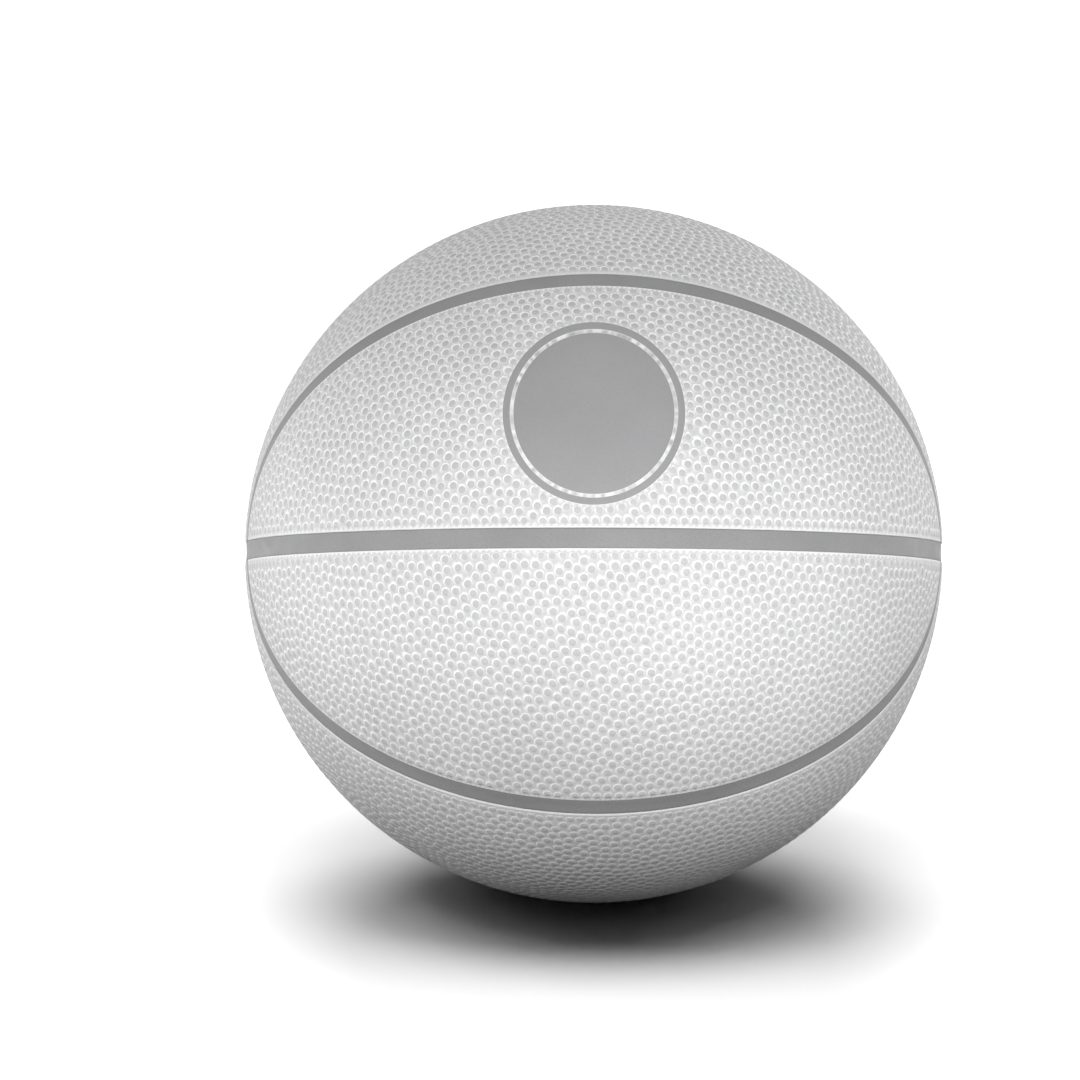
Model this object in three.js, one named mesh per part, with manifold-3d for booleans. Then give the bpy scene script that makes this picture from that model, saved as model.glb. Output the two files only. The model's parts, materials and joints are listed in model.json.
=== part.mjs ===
// Basketball: eight moulded cover panels, seven seam strips laid in the channels between them,
// and inside them a rubber carcass, a thread winding, a bladder and a needle valve.
// Millimetres, +Z up. The ball lies on the floor at z = 0, with its front towards -Y.
import * as THREE from 'three';
import { mergeVertices } from 'three/addons/utils/BufferGeometryUtils.js';
import Module from 'manifold-3d';

// Ball and its layers, from the outside in
const ballDiameter = 242;
const coverThickness = 1.5;
const carcassThickness = 0.7;
const windingThickness = 0.4;
const bladderThickness = 0.7;
const fit = 0.3;

// Seam layout: a level great circle, a cross great circle, and two closed loops that face front and back.
// The waist is the narrow end of a band panel, between a loop and the cross seam.
const seamWidth = 6.5;
const waistWidth = 13.3;
const loopHeightAngle = 45.9;
const loopFullness = 1.955;

// Seam strip, and the rolled lip that each panel turns down beside it
const stripThickness = 0.9;
const stripDish = 0.15;
const lipRise = 0.05;
const lipWidth = 2.4;
const lipShoulder = 0.9;

// Needle valve in the upper panel at the back
const valveAngle = 22;
const valveBore = 5.2;
const valveWall = 1.9;
const valveRecess = 0.5;
const valveChamfer = 0.5;
const flangeWidth = 8;
const flangeThickness = 1.4;
const housingDepth = 9;
const housingWall = 2.6;
const coreRecess = 0.4;
const coreBulbRise = 3.2;
const coreBulbLip = 1.3;
const needleHole = 1.8;
const needleDepth = 13;
const needleFunnel = 0.7;

// How the ball lies: its level seam is tipped up at the front, and its weight flattens a small patch
const frontLift = 15.4;
const restDepth = 0.8;

// Facet sizes in degrees
const panelFacet = 9;
const stripFacet = 6.5;
const shellFacet = 14;

const ballRadius = ballDiameter / 2;
const panelInner = ballRadius - coverThickness;
const stripTop = panelInner + stripThickness;
const stripHalf = seamWidth / 2 - fit;
const centreHeight = ballRadius - restDepth;
const loopReach = Math.PI / 2 - (waistWidth + seamWidth) / ballRadius;
const loopHeight = THREE.MathUtils.degToRad(loopHeightAngle);
const endLatitude = (stripHalf + fit) / ballRadius;

// A flat facet lies inside the sphere by this much at its middle, so the carcass stays clear of it
const facetSag = 2 * panelInner * (1 - Math.cos(THREE.MathUtils.degToRad(panelFacet) / 2));
const carcassOuter = panelInner - facetSag - fit;
const windingOuter = carcassOuter - carcassThickness - fit;
const bladderOuter = windingOuter - windingThickness - fit;
const bladderInner = bladderOuter - bladderThickness;

const wasm = await Module();
wasm.setup();

const count = (radians, facetDegrees) => Math.max(4, Math.round(THREE.MathUtils.radToDeg(radians) / facetDegrees));

// Point of the front loop on the unit sphere. The loop is a full oval laid out by angle round the front pole,
// which lies towards -Y; it crosses the level seam square at t = 0 and t = PI.
function loopPoint(t) {
  const power = 2 / loopFullness;
  const c = Math.cos(t);
  const s = Math.sin(t);
  const x = loopReach * Math.sign(c) * Math.abs(c) ** power;
  const z = loopHeight * Math.sign(s) * Math.abs(s) ** power;
  const angle = Math.hypot(x, z);
  const scale = Math.sin(angle) / angle;
  return new THREE.Vector3(x * scale, -Math.cos(angle), z * scale);
}

// Unit vector along the surface, square to the loop and pointing away from its middle
function loopSide(t) {
  const step = 0.002;
  const along = loopPoint(t + step).sub(loopPoint(t - step));
  return new THREE.Vector3().crossVectors(along, loopPoint(t)).normalize();
}

// Moves a point over the sphere by a distance in millimetres at the ball's surface
function slide(point, side, distance) {
  const angle = distance / ballRadius;
  return point.clone().multiplyScalar(Math.cos(angle)).addScaledVector(side, Math.sin(angle));
}

const loopEdge = (t, distance) => slide(loopPoint(t), loopSide(t), distance);

// Finds t between two bounds where a rising or falling measure passes zero
function solve(measure, low, high) {
  const rising = measure(high) > measure(low);
  for (let i = 0; i < 60; i += 1) {
    const middle = (low + high) / 2;
    if (measure(middle) > 0 === rising) {
      high = middle;
    } else {
      low = middle;
    }
  }
  return (low + high) / 2;
}

// Parameters that split a curve into even lengths
function spaced(curve, from, to, steps) {
  const fine = 240;
  const samples = [];
  const lengths = [0];
  for (let i = 0; i <= fine; i += 1) {
    samples.push(curve(from + ((to - from) * i) / fine));
    if (i > 0) {
      lengths.push(lengths[i - 1] + samples[i].distanceTo(samples[i - 1]));
    }
  }
  const parameters = [];
  let k = 0;
  for (let i = 0; i <= steps; i += 1) {
    const wanted = (lengths[fine] * i) / steps;
    while (k < fine - 1 && lengths[k + 1] < wanted) {
      k += 1;
    }
    const share = (wanted - lengths[k]) / (lengths[k + 1] - lengths[k]);
    parameters.push(from + ((to - from) * (k + share)) / fine);
  }
  return parameters;
}

const evenly = (curve, from, to, steps) => spaced(curve, from, to, steps).map(curve);

// Half a loop runs up one end, over and down the other end. Its strip and the panels on both sides of it
// have their corners at the same places along it, so that their flat facets stay clear of each other.
const loopCorner = 0.62;
const loopUp = count(loopHeight, panelFacet) + 1;
const loopOver = count(2 * loopReach, panelFacet);

function loopTurns(start) {
  const up = spaced(loopPoint, start, loopCorner, loopUp);
  const over = spaced(loopPoint, loopCorner, Math.PI - loopCorner, loopOver);
  const down = up.map((t) => Math.PI - t).reverse();
  return [...up, ...over.slice(1), ...down.slice(1)];
}

// Edge of a panel beside the level seam: a small circle that far above the seam's middle
function levelEdge(longitude, distance) {
  const latitude = distance / ballRadius;
  const c = Math.cos(latitude);
  return new THREE.Vector3(Math.sin(longitude) * c, -Math.cos(longitude) * c, Math.sin(latitude));
}

// Edge of a panel beside the cross seam, going up from the right and over to the left
function crossEdge(turn, distance) {
  const away = distance / ballRadius;
  const c = Math.cos(away);
  return new THREE.Vector3(Math.cos(turn) * c, -Math.sin(away), Math.sin(turn) * c);
}

const longitudeOf = (point) => Math.atan2(point.x, -point.y);

// Four sides of the upper front panel inside the loop, drawn in from its edge by an inset:
// the level seam below, and the loop on the other three sides
function loopPanelSides(inset) {
  const distance = seamWidth / 2 + inset;
  const latitude = Math.sin(distance / ballRadius);
  const start = solve((t) => loopEdge(t, -distance).z - latitude, 0, Math.PI / 2);
  const reach = longitudeOf(loopEdge(start, -distance));
  const edge = loopTurns(start).map((t) => loopEdge(t, -distance));
  return {
    south: evenly((l) => levelEdge(l, distance), -reach, reach, loopOver),
    north: edge.slice(loopUp, loopUp + loopOver + 1).reverse(),
    west: edge.slice(loopUp + loopOver).reverse(),
    east: edge.slice(0, loopUp + 1),
  };
}

// Four sides of the upper front band panel: the loop below, the cross seam above, and a waist at each end
function bandPanelSides(inset) {
  const distance = seamWidth / 2 + inset;
  const latitude = Math.sin(distance / ballRadius);
  const start = solve((t) => loopEdge(t, distance).z - latitude, 0, Math.PI / 2);
  const end = solve((a) => crossEdge(a, distance).z - latitude, 0, Math.PI / 2);
  const along = loopOver + 2 * loopUp;
  const up = count(Math.PI / 2 - loopHeight, panelFacet);
  const inner = loopEdge(start, distance);
  const outer = crossEdge(end, distance);
  const right = (l) => levelEdge(l, distance);
  const west = evenly(right, -longitudeOf(inner), -longitudeOf(outer), up);
  const east = evenly(right, longitudeOf(inner), longitudeOf(outer), up);
  return {
    south: loopTurns(start).map((t) => loopEdge(t, distance)).reverse(),
    north: evenly((a) => crossEdge(a, distance), Math.PI - end, end, along),
    west,
    east,
  };
}

// Grid of unit vectors spread between four sides
function spread(sides) {
  const across = sides.south.length - 1;
  const up = sides.west.length - 1;
  const grid = [];
  for (let j = 0; j <= up; j += 1) {
    const v = j / up;
    const row = [];
    for (let i = 0; i <= across; i += 1) {
      const u = i / across;
      const p = new THREE.Vector3();
      p.addScaledVector(sides.south[i], 1 - v);
      p.addScaledVector(sides.north[i], v);
      p.addScaledVector(sides.west[j], 1 - u);
      p.addScaledVector(sides.east[j], u);
      p.addScaledVector(sides.south[0], -(1 - u) * (1 - v));
      p.addScaledVector(sides.south[across], -u * (1 - v));
      p.addScaledVector(sides.north[0], -(1 - u) * v);
      p.addScaledVector(sides.north[across], -u * v);
      row.push(p.normalize());
    }
    grid.push(row);
  }
  return grid;
}

// Collects points and triangles of one closed body
class Body {
  constructor() {
    this.positions = [];
    this.triangles = [];
  }

  point(direction, radius) {
    this.positions.push(direction.x * radius, direction.y * radius, direction.z * radius);
    return this.positions.length / 3 - 1;
  }

  quad(a, b, c, d) {
    this.triangles.push(a, b, c, a, c, d);
  }

  // Closed band between two rings of the same length
  band(lower, upper) {
    for (let i = 0; i < lower.length; i += 1) {
      const next = (i + 1) % lower.length;
      this.quad(lower[i], lower[next], upper[next], upper[i]);
    }
  }

  geometry() {
    const geometry = new THREE.BufferGeometry();
    geometry.setAttribute('position', new THREE.Float32BufferAttribute(this.positions, 3));
    geometry.setIndex(this.triangles);
    return faceOut(geometry);
  }
}

// Turns every triangle round if the body is inside out
function faceOut(geometry) {
  const position = geometry.getAttribute('position');
  const index = geometry.getIndex().array;
  const a = new THREE.Vector3();
  const b = new THREE.Vector3();
  const c = new THREE.Vector3();
  let volume = 0;
  for (let i = 0; i < index.length; i += 3) {
    a.fromBufferAttribute(position, index[i]);
    b.fromBufferAttribute(position, index[i + 1]);
    c.fromBufferAttribute(position, index[i + 2]);
    volume += a.dot(b.cross(c));
  }
  if (volume < 0) {
    for (let i = 0; i < index.length; i += 3) {
      [index[i + 1], index[i + 2]] = [index[i + 2], index[i + 1]];
    }
  }
  return geometry;
}

// Outline of a grid's rows as one ring of entries
function rim(rows) {
  const last = rows.length - 1;
  const end = rows[0].length - 1;
  const ring = [];
  for (let i = 0; i < end; i += 1) {
    ring.push(rows[0][i]);
  }
  for (let j = 0; j < last; j += 1) {
    ring.push(rows[j][end]);
  }
  for (let i = end; i > 0; i -= 1) {
    ring.push(rows[last][i]);
  }
  for (let j = last; j > 0; j -= 1) {
    ring.push(rows[j][0]);
  }
  return ring;
}

// Cover panel: a flat-backed shell of the sphere whose border rolls down to the seam strip
function panelGeometry(sidesAt) {
  const body = new Body();
  const place = (grid, radius) => grid.map((row) => row.map((p) => body.point(p, radius)));
  const fill = (rows, turned) => {
    for (let j = 0; j + 1 < rows.length; j += 1) {
      for (let i = 0; i + 1 < rows[j].length; i += 1) {
        const cell = [rows[j][i], rows[j][i + 1], rows[j + 1][i + 1], rows[j + 1][i]];
        body.quad(...(turned ? cell.reverse() : cell));
      }
    }
  };
  const edge = spread(sidesAt(0));
  const inside = place(edge, panelInner);
  const outside = place(spread(sidesAt(lipWidth)), ballRadius);
  const lipDrop = ballRadius - stripTop - lipRise;
  const foot = rim(edge).map((p) => body.point(p, ballRadius - lipDrop));
  const shoulder = rim(spread(sidesAt(lipShoulder))).map((p) => body.point(p, ballRadius - 0.28 * lipDrop));
  fill(outside, false);
  fill(inside, true);
  body.band(rim(inside), foot);
  body.band(foot, shoulder);
  body.band(shoulder, rim(outside));
  return body.geometry();
}

// Copies a body to the lower half by a mirror, or to the back by half a turn
function copyTo(geometry, lower, back) {
  const copy = geometry.clone();
  copy.scale(back ? -1 : 1, back ? -1 : 1, lower ? -1 : 1);
  return faceOut(copy);
}

// Seam strip along stations of a point and a sideways vector, with a dished top
function stripGeometry(stations, closed) {
  const body = new Body();
  const section = [
    [-stripHalf, panelInner],
    [-stripHalf, stripTop],
    [0, stripTop - stripDish],
    [stripHalf, stripTop],
    [stripHalf, panelInner],
  ];
  const rings = stations.map(({ point, side, level }) => {
    return section.map(([offset, radius]) => {
      const p = slide(point, side, offset);
      if (level) {
        // The end lies along the level strip's edge
        const flat = Math.hypot(p.x, p.y) / Math.cos(endLatitude);
        p.set(p.x / flat, p.y / flat, Math.sin(endLatitude));
      }
      return body.point(p, radius);
    });
  });
  for (let i = 0; i + 1 < rings.length; i += 1) {
    body.band(rings[i], rings[i + 1]);
  }
  if (closed) {
    body.band(rings[rings.length - 1], rings[0]);
  } else {
    const cap = (r, turned) => {
      const order = turned ? [r[4], r[3], r[2], r[1], r[0]] : r;
      body.quad(order[0], order[1], order[2], order[4]);
      body.triangles.push(order[2], order[3], order[4]);
    };
    cap(rings[0], true);
    cap(rings[rings.length - 1], false);
  }
  return body.geometry();
}

function levelStrip() {
  const steps = count(2 * Math.PI, stripFacet);
  const stations = [];
  for (let i = 0; i < steps; i += 1) {
    stations.push({ point: levelEdge((2 * Math.PI * i) / steps, 0), side: new THREE.Vector3(0, 0, 1) });
  }
  return stripGeometry(stations, true);
}

function crossStrip() {
  const side = new THREE.Vector3(0, -1, 0);
  const points = evenly((a) => crossEdge(a, 0), endLatitude, Math.PI - endLatitude, count(Math.PI, stripFacet));
  const last = points.length - 1;
  return stripGeometry(points.map((point, i) => ({ point, side, level: i === 0 || i === last })), false);
}

function loopStrip() {
  const start = solve((t) => loopPoint(t).z - Math.sin(endLatitude), 0, Math.PI / 2);
  const turns = loopTurns(start);
  const last = turns.length - 1;
  const stations = turns.map((t, i) => ({ point: loopPoint(t), side: loopSide(t), level: i === 0 || i === last }));
  return stripGeometry(stations, false);
}

// Ball-shaped layer round the valve's axis, open where the valve's stem goes through
function shellGeometry(outer, thickness, holeRadius) {
  const rings = count(Math.PI, shellFacet);
  const profile = [];
  const arc = (radius, i) => {
    const hole = Math.asin(holeRadius / radius);
    const angle = Math.PI + ((hole - Math.PI) * i) / rings;
    const x = i === 0 ? 0 : radius * Math.sin(angle);
    profile.push(new THREE.Vector2(x, radius * Math.cos(angle)));
  };
  for (let i = 0; i <= rings; i += 1) {
    arc(outer, i);
  }
  for (let i = rings; i >= 0; i -= 1) {
    arc(outer - thickness, i);
  }
  return faceOut(new THREE.LatheGeometry(profile, count(2 * Math.PI, shellFacet)));
}

// Boot: a flange seated inside the bladder, a stem out to the cover, and a housing inwards for the core
const stemRadius = valveBore / 2 + valveWall;
const stemHole = stemRadius + fit;
const bootTop = ballRadius - valveRecess;
const flangeRadius = stemRadius + flangeWidth;
const shellSag = bladderInner * (1 - Math.cos(THREE.MathUtils.degToRad(shellFacet) / 2));
const flangeTop = bladderInner - shellSag - fit;
const flangeHeight = (radius) => Math.sqrt(flangeTop ** 2 - radius ** 2);
const housingEnd = flangeTop - flangeThickness - housingDepth;

function bootGeometry() {
  const bore = valveBore / 2;
  const middle = (stemRadius + flangeRadius) / 2;
  const housing = bore + housingWall;
  const rimHeight = flangeHeight(flangeRadius);
  const profile = [
    [bore, housingEnd],
    [housing - valveChamfer, housingEnd],
    [housing, housingEnd + valveChamfer],
    [housing, flangeHeight(housing) - flangeThickness],
    [flangeRadius - 0.4 * flangeThickness, rimHeight - flangeThickness],
    [flangeRadius, rimHeight - 0.6 * flangeThickness],
    [flangeRadius, rimHeight - 0.3 * flangeThickness],
    [middle, flangeHeight(middle)],
    [stemRadius, flangeHeight(stemRadius)],
    [stemRadius, bootTop - valveChamfer],
    [stemRadius - valveChamfer, bootTop],
    [bore, bootTop],
    [bore, housingEnd],
  ];
  return faceOut(new THREE.LatheGeometry(profile.map(([x, y]) => new THREE.Vector2(x, y)), 28));
}

// Core: a soft plug in the boot's bore, held by a bulb at its inner end, with a blind hole for the needle
function coreGeometry() {
  const plug = valveBore / 2 - fit;
  const top = bootTop - coreRecess;
  const hole = needleHole / 2;
  const bulbTop = housingEnd - fit;
  const bulb = plug + coreBulbLip;
  const profile = [
    [0, bulbTop - coreBulbRise],
    [plug, bulbTop - coreBulbRise],
    [bulb, bulbTop - 0.7 * coreBulbRise],
    [bulb, bulbTop - 0.2 * coreBulbRise],
    [bulb - 0.3 * coreBulbLip, bulbTop],
    [plug, bulbTop],
    [plug, top],
    [hole + needleFunnel, top],
    [hole, top - needleFunnel],
    [hole, top - needleDepth],
    [0, top - needleDepth - hole],
  ];
  return faceOut(new THREE.LatheGeometry(profile.map(([x, y]) => new THREE.Vector2(x, y)), 20));
}

// Boolean cut of one closed body by another
function cut(geometry, tool) {
  const solid = (source) => {
    const bare = source.clone();
    bare.deleteAttribute('normal');
    bare.deleteAttribute('uv');
    const merged = mergeVertices(bare);
    return new wasm.Manifold(new wasm.Mesh({
      numProp: 3,
      vertProperties: new Float32Array(merged.getAttribute('position').array),
      triVerts: new Uint32Array(merged.getIndex().array),
    }));
  };
  const mesh = solid(geometry).subtract(solid(tool)).getMesh();
  const result = new THREE.BufferGeometry();
  result.setAttribute('position', new THREE.Float32BufferAttribute(mesh.vertProperties, 3));
  result.setIndex(Array.from(mesh.triVerts));
  return result;
}

// Materials
const finish = (color, roughness) => new THREE.MeshStandardMaterial({ color, roughness, metalness: 0 });
const coverFinish = () => finish(0xdcdcdd, 0.55);
const stripFinish = () => finish(0x97979a, 0.6);
const carcassFinish = finish(0x2b2b2d, 0.8);
const windingFinish = finish(0xd9d4c4, 0.9);
const bladderFinish = finish(0x1d1d1f, 0.65);
const bootFinish = finish(0x8b8b8e, 0.65);
const coreFinish = finish(0x5d5d60, 0.7);

// Scene graph: the ball's centre and tilt carry the seam layout, and the valve's axis carries the inner layers
const basketball = new THREE.Group();
const ball = new THREE.Group();
ball.position.set(0, 0, centreHeight);
ball.rotation.x = -THREE.MathUtils.degToRad(frontLift);
basketball.add(ball);
const valveTurn = THREE.MathUtils.degToRad(valveAngle);
const valveAxis = new THREE.Group();
valveAxis.rotation.x = valveTurn;
ball.add(valveAxis);

function addPiece(parent, name, geometry, material) {
  const mesh = new THREE.Mesh(geometry, material);
  mesh.name = name;
  parent.add(mesh);
}

// Tool that opens the upper back panel round the valve's stem
const stemTool = new THREE.CylinderGeometry(stemHole, stemHole, 20, 28);
stemTool.translate(0, ballRadius, 0);
stemTool.rotateX(valveTurn);

// Tool that flattens the panel under the ball to the floor, in the tilted ball's own axes
const floorTool = new THREE.BoxGeometry(80, 80, 20);
floorTool.translate(0, 0, -10 - centreHeight);
floorTool.rotateX(THREE.MathUtils.degToRad(frontLift));

const loopPanel = panelGeometry(loopPanelSides);
const bandPanel = panelGeometry(bandPanelSides);
addPiece(ball, 'panel_front_upper', copyTo(loopPanel, false, false), coverFinish());
addPiece(ball, 'panel_front_lower', copyTo(loopPanel, true, false), coverFinish());
addPiece(ball, 'panel_back_upper', cut(copyTo(loopPanel, false, true), stemTool), coverFinish());
addPiece(ball, 'panel_back_lower', copyTo(loopPanel, true, true), coverFinish());
addPiece(ball, 'panel_top_front', copyTo(bandPanel, false, false), coverFinish());
addPiece(ball, 'panel_top_back', copyTo(bandPanel, false, true), coverFinish());
addPiece(ball, 'panel_bottom_front', copyTo(bandPanel, true, false), coverFinish());
addPiece(ball, 'panel_bottom_back', cut(copyTo(bandPanel, true, true), floorTool), coverFinish());

const crossHalf = crossStrip();
const loopHalf = loopStrip();
addPiece(ball, 'seam_level', levelStrip(), stripFinish());
addPiece(ball, 'seam_cross_upper', crossHalf, stripFinish());
addPiece(ball, 'seam_cross_lower', copyTo(crossHalf, true, false), stripFinish());
addPiece(ball, 'seam_loop_front_upper', loopHalf, stripFinish());
addPiece(ball, 'seam_loop_front_lower', copyTo(loopHalf, true, false), stripFinish());
addPiece(ball, 'seam_loop_back_upper', copyTo(loopHalf, false, true), stripFinish());
addPiece(ball, 'seam_loop_back_lower', copyTo(loopHalf, true, true), stripFinish());

addPiece(valveAxis, 'carcass', shellGeometry(carcassOuter, carcassThickness, stemHole), carcassFinish);
addPiece(valveAxis, 'thread_winding', shellGeometry(windingOuter, windingThickness, stemHole), windingFinish);
addPiece(valveAxis, 'bladder', shellGeometry(bladderOuter, bladderThickness, stemHole), bladderFinish);
addPiece(valveAxis, 'valve_boot', bootGeometry(), bootFinish);
addPiece(valveAxis, 'valve_core', coreGeometry(), coreFinish);

export default basketball;
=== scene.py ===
"""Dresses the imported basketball: pebbled panels, dished seam strips, a plain printed disc and the valve."""
import json
import math

import bpy
import numpy as np
from mathutils import Matrix, Vector
from mathutils.geometry import delaunay_2d_cdt

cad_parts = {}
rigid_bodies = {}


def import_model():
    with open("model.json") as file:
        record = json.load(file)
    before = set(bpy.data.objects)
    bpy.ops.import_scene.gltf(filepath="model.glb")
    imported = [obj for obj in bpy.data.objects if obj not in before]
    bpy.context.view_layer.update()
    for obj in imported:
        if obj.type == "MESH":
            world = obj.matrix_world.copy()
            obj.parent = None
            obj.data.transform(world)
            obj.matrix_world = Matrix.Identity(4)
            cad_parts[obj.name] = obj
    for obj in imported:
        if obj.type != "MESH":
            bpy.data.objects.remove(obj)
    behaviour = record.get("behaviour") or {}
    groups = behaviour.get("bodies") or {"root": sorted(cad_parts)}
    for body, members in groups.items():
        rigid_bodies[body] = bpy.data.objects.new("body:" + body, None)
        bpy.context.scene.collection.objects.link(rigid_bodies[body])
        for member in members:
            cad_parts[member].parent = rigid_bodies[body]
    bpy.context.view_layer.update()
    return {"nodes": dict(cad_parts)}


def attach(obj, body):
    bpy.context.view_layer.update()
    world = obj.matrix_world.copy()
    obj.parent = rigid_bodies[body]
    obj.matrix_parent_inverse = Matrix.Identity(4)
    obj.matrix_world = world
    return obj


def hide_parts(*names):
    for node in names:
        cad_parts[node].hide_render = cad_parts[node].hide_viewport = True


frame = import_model()

# Metres in a millimetre
MM = 0.001

# Sizes of the ball in millimetres, the same as in the part
RADIUS = 121.0
COVER = 1.5
SEAM = 6.5
WAIST = 13.3
LOOP_HEIGHT = math.radians(45.9)
LOOP_REACH = math.pi / 2 - (WAIST + SEAM) / RADIUS
LOOP_FULLNESS = 1.955
STRIP_HEIGHT = 0.9
STRIP_TOP = RADIUS - COVER + STRIP_HEIGHT
PANEL_INNER = RADIUS - COVER
FRONT_LIFT = math.radians(15.4)
REST_DEPTH = 0.8
CENTRE_HEIGHT = RADIUS - REST_DEPTH

# The strips are a little wider than in the part, so that no gap shows beside them
STRIP_CLEAR = 0.02
STRIP_HALF = SEAM / 2 - STRIP_CLEAR

# Pebbles: one for each patch of this area, on a ground a little under the nominal surface
PEBBLE_AREA = 12.9
PEBBLE_RADIUS = 1.3
PEBBLE_HEIGHT = 0.13
GROUND_DEPTH = 0.24
GROUND = RADIUS - GROUND_DEPTH
GROUND_DIP = 0.02
FIELD_INSET = 0.7
BORDER_STEP = 1.15

# Spread of the pebbles' heights, radii and top tones
HEIGHT_SPREAD = (0.92, 1.06)
RADIUS_SPREAD = (0.96, 1.04)
TONE_SPREAD = (0.97, 1.03)

# Beside a border the pebbles have these shares of height, radius and tone, and grow to full size inwards;
# none stands nearer to it than BORDER_CLEAR
BORDER_HEIGHT = 0.4
BORDER_RADIUS = 0.75
BORDER_TONE = 0.8
BORDER_CLEAR = 0.6
BORDER_GROWTH = 1.5

# A ring takes at most this share of the way to the net: a base, and a gain with the ring's own share
CROWD_BASE = 0.7
CROWD_GAIN = 0.2
CROWD_LIMIT = 1.2

# Scatter: the least spacing is a share of an even net's, and the reaches are shares of that spacing
SPACING = 0.94
FIRST_SHAKE = 0.3
WIDE_REACH = 1.5
CLOSE_REACH = 1.0
WALL_REACH = 0.46

# A push takes away a share of an overlap, wide and gentle at first; neighbours are listed every few rounds
WIDE_PUSH = 0.12
CLOSE_PUSH = 0.5
WALL_PUSH = 1.0
ROUNDS_PER_LIST = 8
PEBBLE_ROUNDS = 48

# Directions whose cosine to a panel's middle is below this are never in its field
FAR_SIDE = -0.2

# Net of points on a panel's back: area of each, rounds of scatter, tone
BACK_AREA = 60.0
BACK_ROUNDS = 12
BACK_TONE = 0.3

# Each pebble's rings: share of its radius, share of its height, tone on its pale side, tone opposite. Tone 1
# is the grey of a pebble's top and tone 0 the palest flank, a painted highlight that is widest on the pale
# side; rings above TOP_FROM belong to the top
PEBBLE_RINGS = ((0.92, 0.84, 1.0, 1.0), (1.06, 0.42, 0.0, 0.6), (1.24, 0.04, 0.0, 0.85))
# The pale side of each pebble, in the ball's own axes, faces up, a little to the left and to the back, seen
# from the front: its painted highlight stands in for light from there. The top ring moves away from it by
# TOP_SHIFT of its share, which widens the painted highlight
PAINTED_HIGHLIGHT_SIDE = np.array([-0.45, 0.3, 0.9])
TOP_SHIFT = 0.06
TOP_FROM = 0.8
GROUND_TONE = 0.85

# Tones stand out from a middle one more towards the top of the ball, there by this share: painted light and
# shade, with pebble tops darker and pale flanks and lips paler higher up; the last is the darkest that the
# cover's colours reach
TONE_MIDDLE = 0.78
TONE_RISE = 0.6
TONE_FULL = 1.2

# Rolled lip of a panel: inset from its edge, height of the surface there, tone. Its pale tones, and RIM_TONE
# where the field ends, are a painted highlight along the panel's edge
LIP = ((0.45, GROUND + 0.01, 0.25), (0.26, GROUND - 0.05, 0.2), (0.12, GROUND - 0.14, 0.2),
       (0.03, GROUND - 0.27, 0.25), (0.0, STRIP_TOP - 0.1, 0.3))
RIM_TONE = 0.2

# The painted highlight on the band panels' lips is greyer than on the others by this much tone
BAND_LIP_GREY = 0.35

# Printed disc and ring on the upper front panel, pressed on from the front so that they are round from there
PRESS_FAR = 12 * RADIUS
PRESS_TURN = math.radians(-0.5)
PRESS_DROP = math.radians(-2.4)
DISC_RISE = 48.75
DISC_RADIUS = 28.0
RING_INNER = 29.3
RING_OUTER = 31.75
DISC_NET = (24.0, 18.0, 12.0, 6.0, 2.0)
DISC_POINTS = 168

# Relief of the print: it stands proud with rounded edges, and the gap between ring and disc lies lower
PRINT_PROUD = 0.02
PRINT_DROP = 0.03
PRINT_ROUND = 0.16
PRINT_FOOT = 0.14
PRINT_CLEAR = 0.25
FOOT_RISE = 0.1
GAP_FOOT = 0.12
GAP_RISE = 0.16
EDGE_TONE = 0.1
# Tones of the gap's mottle: painted shade and highlight in place of pebbles
GAP_TONES = (0.25, 1.15)

# Material slots of a cover panel
BARE = 0
PRINTED = 1

# Valve, on the upper back panel; the wall of its hole is mapped inwards by WALL_MAP
VALVE_ANGLE = math.radians(22)
VALVE_HOLE = 4.8
VALVE_PAD = 7.4
VALVE_POINTS = 48
PAD_TONE = 0.1
WALL_TONE = 0.2
WALL_MAP = 0.7

# Rings of the dished pad round the valve: radius, height
PAD_RINGS = ((VALVE_PAD - 0.5, GROUND - 0.02), (VALVE_PAD - 1.2, GROUND - 0.14),
             (VALVE_HOLE + 0.5, GROUND - 0.2), (VALVE_HOLE + 0.12, GROUND - 0.27),
             (VALVE_HOLE, GROUND - 0.42))

# Places in the unit square for a panel's outside and its back; the wall's foot is mapped beyond the edge
OUTER_BOX = (0.004, 0.004, 0.996, 0.80)
INNER_BOX = (0.01, 0.82, 0.99, 0.99)
FOOT_INSET = -0.9

# The lowest panel ends this far above the floor, in metres
FLOOR_CLEAR = 0.00004

# Points nearer than this become one, in metres
WELD_REACH = 2e-6

TILT = np.array(Matrix.Rotation(-FRONT_LIFT, 3, "X"))


def to_world(points):
    """Metres in the shared frame, from millimetres in the tilted ball's own axes."""
    moved = points @ TILT.T
    moved[:, 2] += CENTRE_HEIGHT
    return moved * MM


def unit(v):
    """Vectors at length one."""
    return v / np.linalg.norm(v, axis=-1, keepdims=True)


def loop_point(t):
    """Points of the front loop on the unit sphere."""
    power = 2 / LOOP_FULLNESS
    c, s = np.cos(t), np.sin(t)
    x = LOOP_REACH * np.sign(c) * np.abs(c) ** power
    z = LOOP_HEIGHT * np.sign(s) * np.abs(s) ** power
    angle = np.hypot(x, z)
    scale = np.sin(angle) / angle
    return np.stack([x * scale, -np.cos(angle), z * scale], -1)


def loop_side(t):
    """Along the surface, square to the loop, away from its middle."""
    step = 0.002
    return unit(np.cross(loop_point(t + step) - loop_point(t - step), loop_point(t)))


def slide(point, side, distance):
    """Points moved along the surface by a distance in millimetres."""
    angle = distance / RADIUS
    return point * np.cos(angle) + side * np.sin(angle)


def loop_edge(t, distance):
    """Points beside the front loop."""
    return slide(loop_point(t), loop_side(t), distance)


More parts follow.
